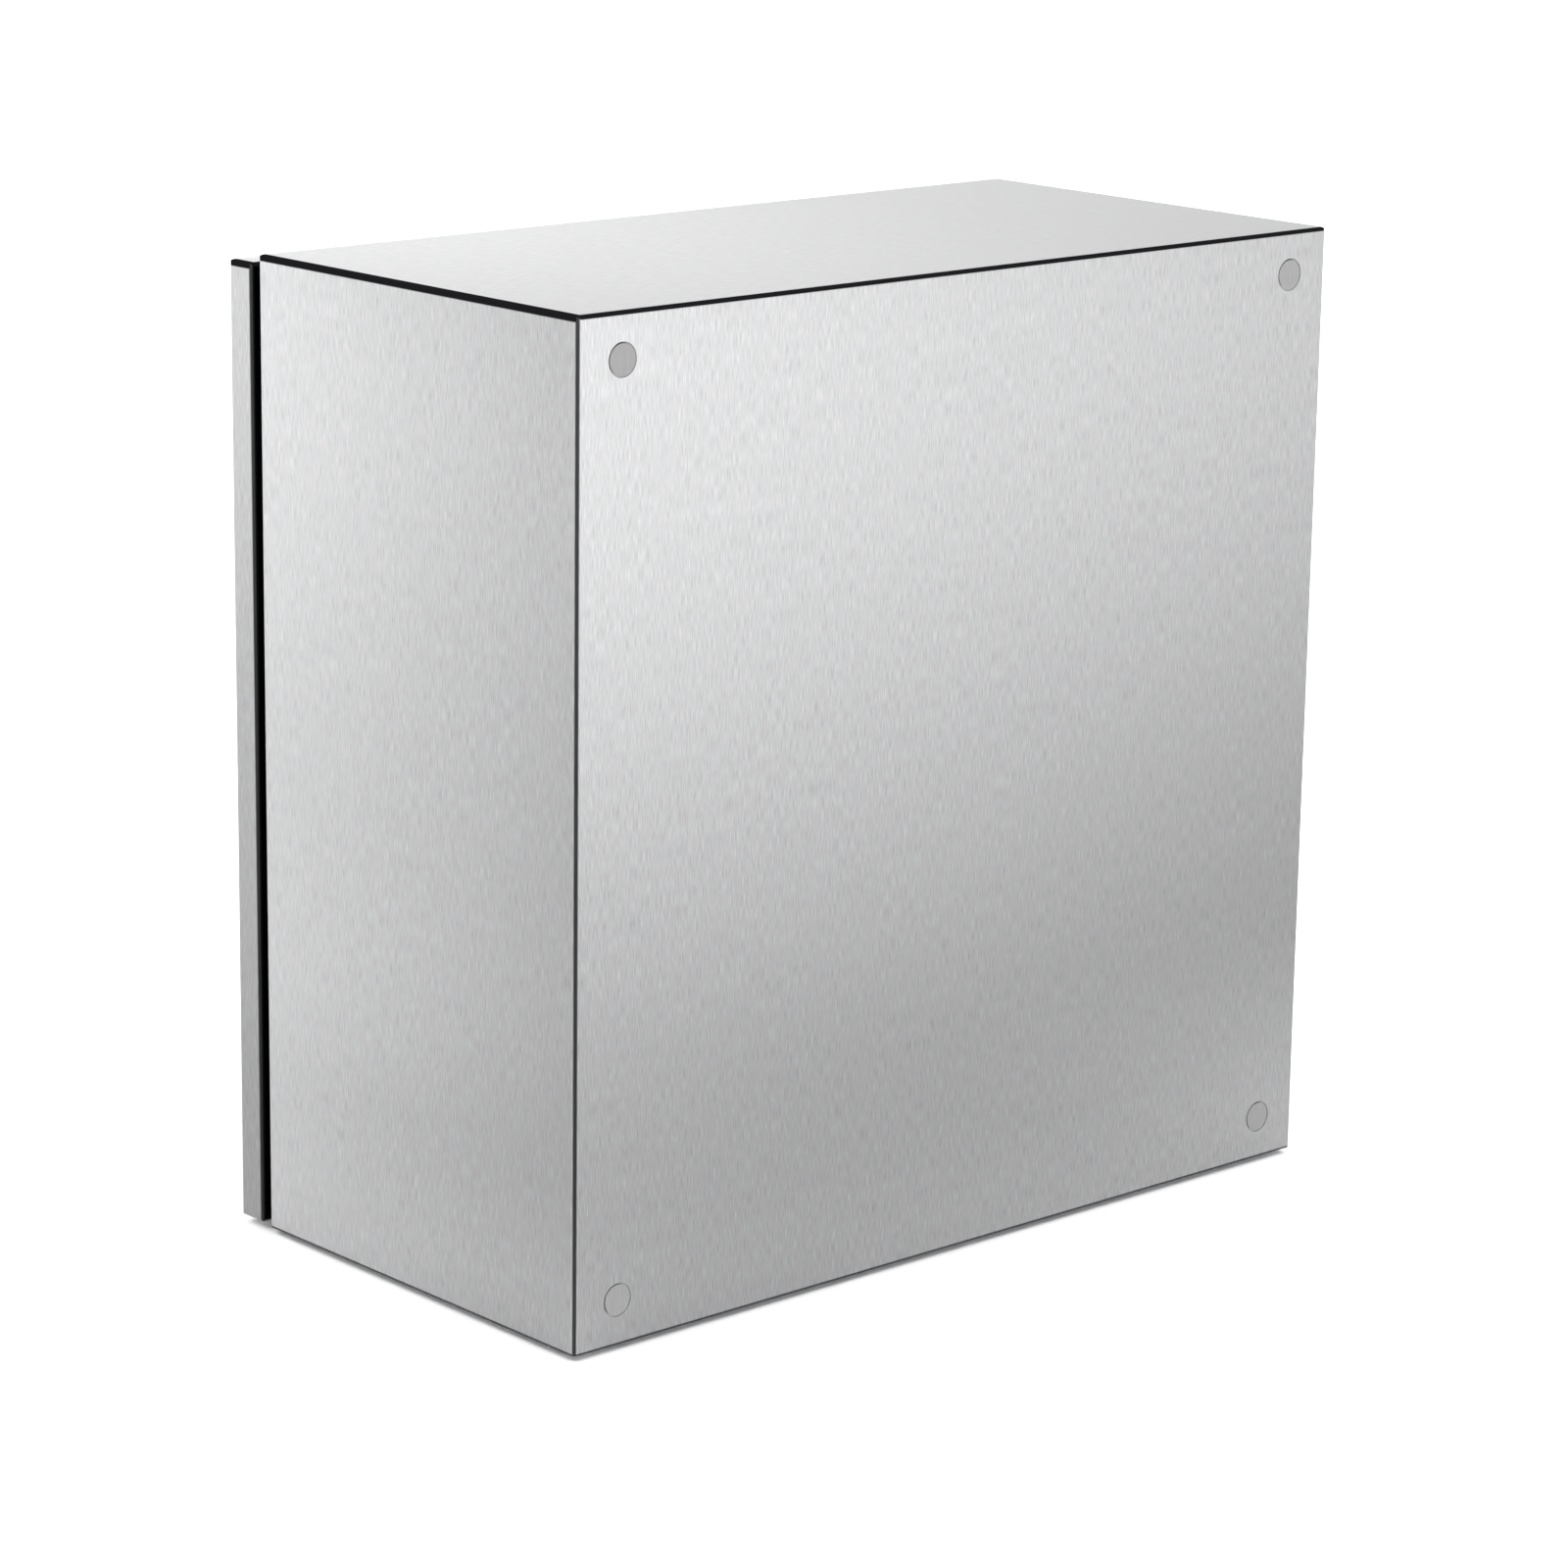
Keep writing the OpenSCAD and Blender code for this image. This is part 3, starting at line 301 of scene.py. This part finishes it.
def painted_edge_reflection_and_shade(n, normal, low, high):
    """How dark the painted reflection on the rolled edges and the painted shade along the foot are.
    low and high are the piece's box.
    """
    x, _, z = n.split(n.place())
    nx, ny, nz = (n.size(part) for part in n.split(normal))
    crown = n.step(z, high.z - ROLL, high.z - CROWN_SOFT * ROLL)
    side_line = n.step(n.size(x), *(high.x - soft * ROLL for soft in SIDE_SOFT))
    side_top = n.product(crown, side_line, n.step(ny, *TO_BACK, 1.0, 0.0))
    rear_bend = n.step(n.product(ny, nz, 2.0), *REAR_BEND)
    rear_top = n.product(rear_bend, n.step(z, high.z - ROLL, high.z - REAR_SOFT * ROLL))
    upright = n.product(n.step(n.product(nx, ny, 2.0), *UPRIGHT_BEND), UPRIGHT_DARK)
    # painted shade along the foot, left off the bottom face
    foot_shade = n.step(z, low.z + FOOT_SHADE_START, low.z + FOOT_SHADE_END, FOOT_SHADE_DARK, 0.0)
    not_top = n.math("SUBTRACT", 1.0, n.step(nz, *ON_TOP))
    return n.greatest(side_top, rear_top, upright, n.product(foot_shade, not_top))


def brushed_steel(name, base, rough, box=None, painted_side_shade=None, gap_y=None):
    """Brushed stainless sheet.

    box: the folded piece's corners, for its painted dark reflection and shade along the edges
    painted_side_shade: painted shade on its narrow sides, how bright they are below and above
    gap_y: beyond this depth its back is painted black as the shade of the shadow gap
    """
    material, n, shader = shaded(name)
    normal = n.normal()
    nx, ny, nz = n.split(normal)
    flat_top = n.step(n.size(nz), *TOP_FACING)
    fine, broad = grain(n, flat_top)
    streak = n.math("ADD", n.product(fine, FINE_SHARE), n.product(broad, BROAD_SHARE))
    light = n.scale(streak, *STREAK_RANGE, 1.0 - STREAKS, 1.0 + STREAKS)
    # painted light and shade of the reflection gradient, multiplied into the grain
    light = n.product(light, painted_reflection_gradient(n, normal, flat_top))
    # painted shade: the narrow sides painted darker, most of all towards the bottom
    if painted_side_shade:
        tone = n.scale(n.split(n.place())[2], 0.0, shell_hi.z, *painted_side_shade)
        light = n.product(light, n.blend(n.step(n.size(nx), *FACING), 1.0, tone))
    gray = n.add("ShaderNodeCombineColor")
    n.put_all(gray.inputs, (light, light, light))
    color = n.mix(1.0, rgb(base), gray.outputs[0], "MULTIPLY")
    metallic = 1.0
    if box:
        # painted dark reflection on the bends and painted shade at the foot: near black and not
        # metallic
        dark = painted_edge_reflection_and_shade(n, normal, *box)
        color = n.mix(dark, color, EDGE_REFLECTION_AND_SHADE_COLOR)
        metallic = n.math("SUBTRACT", 1.0, dark)
        shader.inputs["Specular IOR Level"].default_value = 0.0
    if gap_y is not None:
        # painted shade: the back behind the shadow gap painted black
        behind = n.math("GREATER_THAN", n.split(n.place())[1], gap_y)
        color = n.mix(n.product(behind, n.step(ny, 0.75, 0.9)), color, GAP_SHADE_COLOR)
    roughness = n.scale(streak, *STREAK_RANGE, rough - ROUGH_SPREAD, rough + ROUGH_SPREAD)
    fill(n, shader, color, roughness, n.bump(fine, 0.04, 0.00002), metallic)
    shader.inputs["Anisotropic"].default_value = 0.55
    across = n.vector("CROSS_PRODUCT", (0.0, 0.0, 1.0), normal)
    n.put(shader.inputs["Tangent"], n.mix_vector(flat_top, across, (0.0, 1.0, 0.0)))
    return material


CAP_R = 0.00985  # radius of a cap in the rear wall
RIM_INSETS = (0.0012, 0.0006)  # the rim's inner and outer edge, in from CAP_R
RIM_SIDE = (0.0, 0.7, 0.05, 0.95)  # how dark the painted shadow on the rim is, by how far it is up and outward
RIM_SHADOW_COLOR = (0.01, 0.01, 0.01, 1.0)


def cap_steel(name, base):
    """The caps in the rear wall: a dull satin, with a painted shadow on the rim's upper outer side.
    """
    material, n, shader = shaded(name)
    fine, broad = grain(n, 0.0)
    x, _, z = n.split(n.place())
    middle = (caps_lo + caps_hi) / 2
    half = (caps_hi - caps_lo) / 2

    def from_cap(value, middle, half):
        """How far a place on one axis is from the nearest cap's centre."""
        off = n.math("SUBTRACT", value, middle)
        return n.math("SUBTRACT", off, n.product(n.math("SIGN", off), half - CAP_R))

    dx = from_cap(x, middle.x, half.x)
    dz = from_cap(z, middle.z, half.z)
    distance = n.math("SQRT", n.math("ADD", n.product(dx, dx), n.product(dz, dz)))
    upper = n.math("DIVIDE", n.math("ADD", dx, n.product(dz, 0.6)), CAP_R)
    edge = n.step(distance, *(CAP_R - inset for inset in RIM_INSETS))
    # painted shadow along the rim's upper outer side
    rim = n.product(edge, n.step(upper, *RIM_SIDE))
    color = n.mix(rim, tinted(n, n.scale(fine, 0.3, 0.7), base, 0.07), RIM_SHADOW_COLOR)
    roughness = n.scale(broad, 0.3, 0.7, 0.56, 0.64)
    fill(n, shader, color, roughness, n.bump(fine, 0.05, 0.00003), metallic=0.2)
    return material


# ---------------------------------------------------------------- other materials

def zinc_sheet(name, base, rough=0.42):
    """Zinc-plated sheet with a faint spangle."""
    material, n, shader = shaded(name)
    at = n.place()
    tint = n.add("ShaderNodeRGBToBW")
    n.put(tint.inputs[0], n.cells(at, 95.0)["Color"])
    cloud = n.noise(at, 38.0, detail=4.0)
    both = n.math("ADD", n.product(tint.outputs[0], 0.45), n.product(cloud, 0.55))
    color = n.mix(n.scale(both, 0.2, 0.8), rgb(base, 0.84), rgb(base, 1.06))
    roughness = n.scale(both, 0.2, 0.8, rough - 0.08, rough + 0.08)
    fill(n, shader, color, roughness, n.bump(n.noise(at, 900.0), 0.05, 0.00004), metallic=0.9)
    return material


def metal(name, base, rough, lines=(420.0, 420.0, 420.0), wear=0.10):
    """Machined or cast metal. lines is the noise scale per axis of its machining marks."""
    material, n, shader = shaded(name)
    at = n.place()
    marks = n.noise(n.vector("MULTIPLY", at, lines), 1.0, detail=3.0, roughness=0.6)
    cloud = n.noise(at, 55.0, detail=4.0)
    both = n.math("ADD", n.product(marks, 0.6), n.product(cloud, 0.4))
    color = tinted(n, n.scale(both, 0.3, 0.7), base, wear)
    roughness = n.scale(both, 0.3, 0.7, rough - 0.06, rough + 0.06)
    fill(n, shader, color, roughness, n.bump(marks, 0.12, 0.00006), metallic=1.0)
    return material


def coated(name, base, rough, peel=340.0, depth=0.00012, spread=0.08):
    """Paint, powder coat or moulded plastic: a pebbled surface with faint mottling."""
    material, n, shader = shaded(name)
    at = n.place()
    pebble = n.noise(at, peel, detail=2.0, roughness=0.55)
    cloud = n.noise(at, 24.0, detail=5.0, roughness=0.6)
    color = tinted(n, n.scale(cloud, 0.3, 0.7), base, spread)
    roughness = n.scale(pebble, 0.3, 0.7, rough - 0.05, rough + 0.05)
    fill(n, shader, color, roughness, n.bump(pebble, 0.25, depth))
    return material


def windings(name, base):
    """Varnished copper wire, wound upright."""
    material, n, shader = shaded(name)
    wave = n.add("ShaderNodeTexWave", bands_direction="X")
    n.put(wave.inputs["Vector"], n.place())
    wave.inputs["Scale"].default_value = 420.0
    wave.inputs["Distortion"].default_value = 1.5
    turns = wave.outputs["Fac"]
    color = n.mix(turns, rgb(base, 0.6), rgb(base, 1.25))
    roughness = n.scale(turns, 0.0, 1.0, 0.3, 0.5)
    fill(n, shader, color, roughness, n.bump(turns, 0.4, 0.0003), metallic=0.8)
    return material


def felt(name, base):
    """Carbon-filled filter mat."""
    material, n, shader = shaded(name)
    at = n.place()
    stretched = n.vector("MULTIPLY", at, (900.0, 500.0, 900.0))
    fibre = n.noise(stretched, 1.0, detail=5.0, roughness=0.75)
    color = n.mix(fibre, rgb(base, 0.6), rgb(base, 1.7))
    roughness = n.scale(fibre, 0.2, 0.8, 0.85, 1.0)
    fill(n, shader, color, roughness, n.bump(n.cells(at, 520.0)["Distance"], 0.6, 0.0006))
    return material


def lens(name, base):
    """A clear amber lens over its lamp."""
    material, n, shader = shaded(name)
    glow = n.noise(n.place(), 260.0)
    color = n.mix(glow, rgb(base, 0.75), rgb(base, 1.1))
    fill(n, shader, color, n.scale(glow, 0.3, 0.7, 0.06, 0.12))
    shader.inputs["Transmission Weight"].default_value = 0.35
    shader.inputs["IOR"].default_value = 1.49
    return material


STEEL = (0.470, 0.472, 0.477)
SMOOTH = 0.00002  # bump depth of a glossy moulding

# Each material, with the CAD nodes that it is for.
FINISHES = [
    (brushed_steel("brushed_sheet", STEEL, 0.34, box=(shell_lo, shell_hi)), SHELL),
    (brushed_steel("brushed_front", STEEL, 0.34, box=(front_lo, front_hi),
                   painted_side_shade=(0.60, 0.86), gap_y=front_hi.y - 0.0008),
     ["drawer_front"]),
    (brushed_steel("brushed_bar", STEEL, 0.30), ["handle"]),
    (cap_steel("cap_satin", (0.260, 0.260, 0.264)), ["wall_hole_plugs"]),
    (zinc_sheet("zinc_plate", (0.62, 0.64, 0.66)),
     ["base_pan", "left_side_frame", "right_side_frame", "top_crossmember", "drive_cover",
      "motor_bracket", "outer_slide_rails", "left_middle_rail", "right_middle_rail",
      "inner_slide_rails", "drawer_tray"]),
    (metal("zinc_fastener", (0.55, 0.56, 0.57), 0.34),
     ["cabinet_screws", "handle_screws", "ram_bolts"]),
    (metal("bearing_bronze", (0.66, 0.46, 0.22), 0.32, lines=(160.0, 160.0, 1500.0)),
     ["screw_bearings", "power_nuts"]),
    (metal("oiled_steel", (0.16, 0.165, 0.175), 0.36, wear=0.2),
     ["drive_chain", "left_sprocket", "right_sprocket", "drive_gear", "motor_pinion"]),
    (metal("rolled_steel", (0.56, 0.57, 0.58), 0.24, lines=(180.0, 180.0, 1400.0)),
     ["left_power_screw", "right_power_screw", "motor_rotor"]),
    (metal("cast_alloy", (0.62, 0.63, 0.64), 0.46, lines=(700.0, 700.0, 700.0)),
     ["motor_end_bells"]),
    (coated("motor_enamel", (0.045, 0.05, 0.06), 0.35, peel=200.0, spread=0.15),
     ["motor_housing"]),
    (windings("copper_windings", (0.50, 0.22, 0.09)), ["motor_stator"]),
    (coated("white_moulding", (0.60, 0.60, 0.585), 0.46, spread=0.03),
     ["terminal_box", "terminal_box_lid"]),
    (coated("ivory_moulding", (0.58, 0.55, 0.44), 0.5, spread=0.05), ["terminal_block"]),
    (coated("black_moulding", (0.022, 0.022, 0.024), 0.5, spread=0.2),
     ["cable_gland", "position_sensors", "fan_housing", "fan_rotor", "control_housing",
      "key_knob"]),
    (coated("liner_moulding", (0.030, 0.031, 0.034), 0.48, spread=0.12), ["drawer_front_liner"]),
    (coated("gloss_bezel", (0.012, 0.012, 0.014), 0.16, peel=60.0, depth=SMOOTH, spread=0.15),
     ["control_bezel"]),
    (coated("seal_rubber", (0.010, 0.010, 0.010), 0.75, peel=600.0, spread=0.25),
     ["front_gasket", "glide_feet"]),
    (coated("cable_sheath", (0.018, 0.018, 0.020), 0.55, peel=500.0, spread=0.2), ["motor_lead"]),
    (coated("natural_nylon", (0.57, 0.555, 0.49), 0.42, spread=0.05),
     ["ram_guides", "bag_pegs"]),
    (coated("ram_paint", (0.055, 0.058, 0.064), 0.5, peel=260.0, depth=0.00022, spread=0.14),
     ["ram_plate", "ram_cover", "ram_columns", "ram_beam"]),
    (coated("bin_powder_coat", (0.22, 0.235, 0.25), 0.48, peel=300.0, depth=0.0002, spread=0.07),
     ["bin"]),
    (lens("amber_lens", (0.85, 0.33, 0.03)), ["status_lens"]),
    (coated("green_button", (0.02, 0.19, 0.06), 0.3, peel=120.0, depth=SMOOTH, spread=0.06),
     ["start_button"]),
    (coated("red_button", (0.42, 0.018, 0.012), 0.3, peel=120.0, depth=SMOOTH, spread=0.06),
     ["stop_button"]),
    (metal("polished_chrome", (0.72, 0.72, 0.73), 0.10, wear=0.04), ["key_barrel"]),
    (felt("carbon_mat", (0.030, 0.030, 0.032)), ["filter_cartridge"]),
]


def finish_nodes():
    for material, names in FINISHES:
        for name in names:
            nodes[name].data.materials.clear()
            nodes[name].data.materials.append(material)


# ---------------------------------------------------------------- power screws

LEAD = 0.004  # the thread's rise in one turn
THREAD_DEPTH = 0.0022
# the thread's profile: (share of the lead, share of the depth)
THREAD_SHAPE = [(0.00, 0.0), (0.20, 0.0), (0.36, 1.0), (0.66, 1.0), (0.82, 0.0)]
FADE_TURNS = 0.75  # over which the thread runs out at each end
RUN_OUT = 0.004  # plain root beyond each end of the thread
JOURNAL_R, SEAT_R = 0.006, 0.008
SEAT_Z, ROOT_Z = 0.0068, 0.0388  # where the seat and the root start, above the screw's foot
TOP_JOURNAL = 0.016  # length of the upper journal
CHAMFER = 0.0012
STEPS = 40  # corners in one turn


def power_screw(name, node, body):
    """The screw with its real trapezoidal thread, in the space of the CAD screw."""
    lo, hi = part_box(node)
    centre_x, centre_y = (lo.x + hi.x) / 2, (lo.y + hi.y) / 2
    root_r = (hi.x - lo.x) / 2 - THREAD_DEPTH
    low_root, high_root = lo.z + ROOT_Z, hi.z - TOP_JOURNAL
    low_thread, high_thread = low_root + RUN_OUT, high_root - RUN_OUT
    bm = bmesh.new()

    def corner(r, step, z):
        angle = 2 * math.pi * step / STEPS
        return bm.verts.new((centre_x + r * math.cos(angle), centre_y + r * math.sin(angle), z))

    def ring(r, z):
        """A ring of corners, or a single one on the axis."""
        return [corner(r, step, z) for step in range(STEPS if r else 1)]

    def join(a, b):
        for k in range(STEPS):
            m = (k + 1) % STEPS
            if len(a) == 1:
                bm.faces.new((a[0], b[m], b[k]))
            elif len(b) == 1:
                bm.faces.new((a[k], a[m], b[0]))
            else:
                bm.faces.new((a[k], a[m], b[m], b[k]))

    foot = [
        (0.0, lo.z), (JOURNAL_R - CHAMFER, lo.z), (JOURNAL_R, lo.z + CHAMFER),
        (JOURNAL_R, lo.z + SEAT_Z), (SEAT_R, lo.z + SEAT_Z), (SEAT_R, low_root),
        (root_r, low_root), (root_r, low_thread),
    ]
    head = [
        (root_r, high_thread), (root_r, high_root), (JOURNAL_R, high_root),
        (JOURNAL_R, hi.z - CHAMFER), (JOURNAL_R - CHAMFER, hi.z), (0.0, hi.z),
    ]
    for profile in (foot, head):
        rings = [ring(r, z) for r, z in profile]
        for a, b in zip(rings, rings[1:]):
            join(a, b)

    # the thread: a helical strip of root, flank, crest and flank, joined to its own next turn
    count = int((high_thread - low_thread) / LEAD * STEPS)
    rows = []
    for i in range(count + 1):
        base = low_thread + LEAD * i / STEPS
        fade = min(1.0, i / (FADE_TURNS * STEPS), (count - i) / (FADE_TURNS * STEPS))
        rows.append([
            corner(root_r + THREAD_DEPTH * depth * fade, i,
                   min(base + (part - 0.5) * LEAD, high_thread + LEAD / 2))
            for part, depth in THREAD_SHAPE
        ])
    for i in range(count):
        here, after = rows[i], rows[i + 1]
        for k in range(len(THREAD_SHAPE) - 1):
            bm.faces.new((here[k], after[k], after[k + 1], here[k + 1]))
        if i + STEPS < count:
            bm.faces.new((here[-1], after[-1], rows[i + 1 + STEPS][0], rows[i + STEPS][0]))
        elif i + STEPS == count:
            bm.faces.new((here[-1], after[-1], rows[i + STEPS][0]))
    bmesh.ops.recalc_face_normals(bm, faces=bm.faces)
    mesh = bpy.data.meshes.new(name)
    bm.to_mesh(mesh)
    bm.free()
    mesh.materials.append(nodes[node].data.materials[0])
    screw = bpy.data.objects.new(name, mesh)
    bpy.context.scene.collection.objects.link(screw)
    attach(screw, body)
    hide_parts(node)


# ---------------------------------------------------------------- studio

FLOOR_SIDES = 96
FLOOR_RADIUS = 40.0
FLOOR_DARK, FLOOR_PALE = (0.90, 0.90, 0.90), (0.92, 0.92, 0.92)

# The world's light by the height of a direction, which is 1 straight up. A curve is as above.
TENT = (0.30, 0.48, 1.5, 0.62)
LAMPS = ((0.325, -0.380, 0.866), (-0.325, 0.380, 0.866))  # directions to the lamps' middles
LAMP_EDGE = (0.82, 0.92)  # cosine of the angle from the middle
LAMP_LIGHT = 6.5
LAMP_FOOT = (0.62, 0.72, 0.0, 1.0)  # the lamps are cut off below and above
LAMP_HEAD = (0.80, 0.93, 1.0, 0.0)


def make_floor():
    mesh = bpy.data.meshes.new("floor")
    angles = [2 * math.pi * k / FLOOR_SIDES for k in range(FLOOR_SIDES)]
    ring = [(FLOOR_RADIUS * math.cos(a), FLOOR_RADIUS * math.sin(a), 0.0) for a in angles]
    wedges = [(0, k + 1, (k + 1) % FLOOR_SIDES + 1) for k in range(FLOOR_SIDES)]
    mesh.from_pydata([(0.0, 0.0, 0.0)] + ring, [], wedges)
    floor = bpy.data.objects.new("floor", mesh)
    bpy.context.scene.collection.objects.link(floor)
    material, n, shader = shaded("pale_floor")
    fill(n, shader, n.mix(n.noise(n.place(), 0.8), rgb(FLOOR_DARK), rgb(FLOOR_PALE)), 0.9)
    shader.inputs["Specular IOR Level"].default_value = 0.0
    mesh.materials.append(material)


def make_world():
    """A light tent, brightest low down, with two large soft lamps high on opposite sides."""
    world = bpy.data.worlds.new("studio")
    bpy.context.scene.world = world
    world.use_nodes = True
    n = Nodes(world.node_tree)
    out = n.add("ShaderNodeOutputWorld")
    back = n.add("ShaderNodeBackground")
    toward = n.add("ShaderNodeTexCoord").outputs["Generated"]
    height = n.split(toward)[2]
    band = n.product(n.step(height, *LAMP_FOOT), n.step(height, *LAMP_HEAD))
    light = n.step(height, *TENT)
    for lamp in LAMPS:
        near = n.vector("DOT_PRODUCT", toward, lamp)
        glow = n.step(near, *LAMP_EDGE, 0.0, LAMP_LIGHT)
        light = n.math("ADD", light, n.product(glow, band))
    n.put(back.inputs["Color"], (1.0, 1.0, 1.0, 1.0))
    n.put(back.inputs["Strength"], light)
    n.put(out.inputs["Surface"], back.outputs[0])


make_camera()
finish_nodes()
power_screw("left_threaded_screw", "left_power_screw", "left_screw")
power_screw("right_threaded_screw", "right_power_screw", "right_screw")
make_floor()
make_world()

bpy.context.scene.view_settings.view_transform = "Standard"
bpy.context.scene.view_settings.look = "None"
